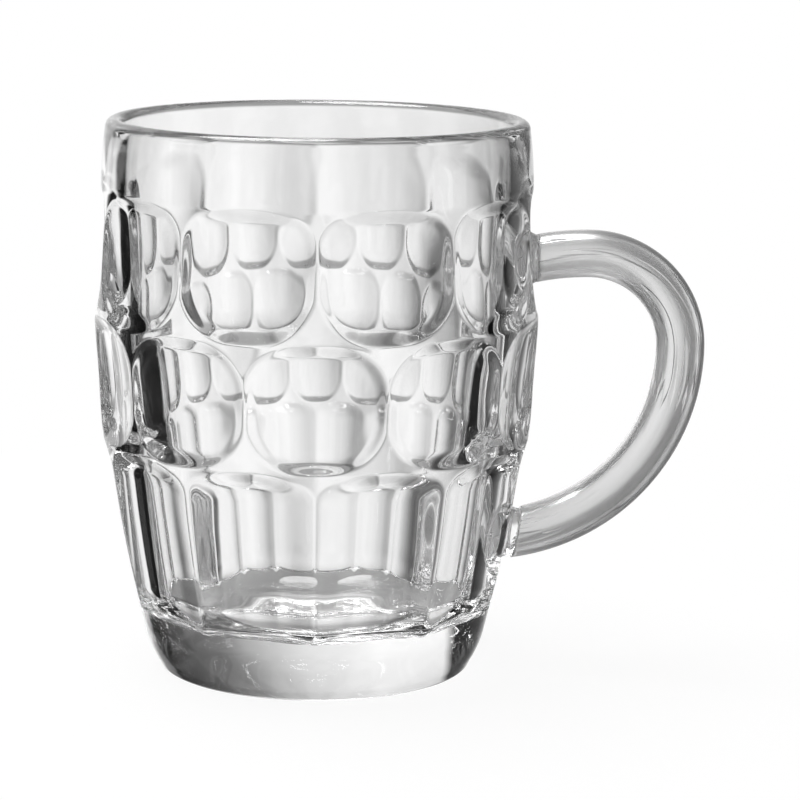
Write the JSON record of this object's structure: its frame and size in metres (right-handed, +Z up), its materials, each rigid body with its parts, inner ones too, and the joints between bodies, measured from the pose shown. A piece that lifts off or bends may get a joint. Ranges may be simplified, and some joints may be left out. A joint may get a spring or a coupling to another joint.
{
  "type": "dimpled glass beer mug",
  "caption": "Barrel-shaped glass mug with staggered rows of pressed dimples over tall flutes, a plain rim band and base, and a round looped glass handle.",
  "frame": {"origin": "middle of the foot, on the table, on the mug's own axis", "axes": "+Z up along the mug's axis, +X towards the handle, +Y across the handle"},
  "size_m": [0.1357, 0.0984, 0.1229],
  "materials": {
    "pressed_glass": "clear, fire-polished",
    "drawn_glass": "clear, with fine lengthwise draw lines"
  },
  "bodies": {
    "root": {"body": "pressed_glass", "handle": "drawn_glass"}
  },
  "joints": []
}
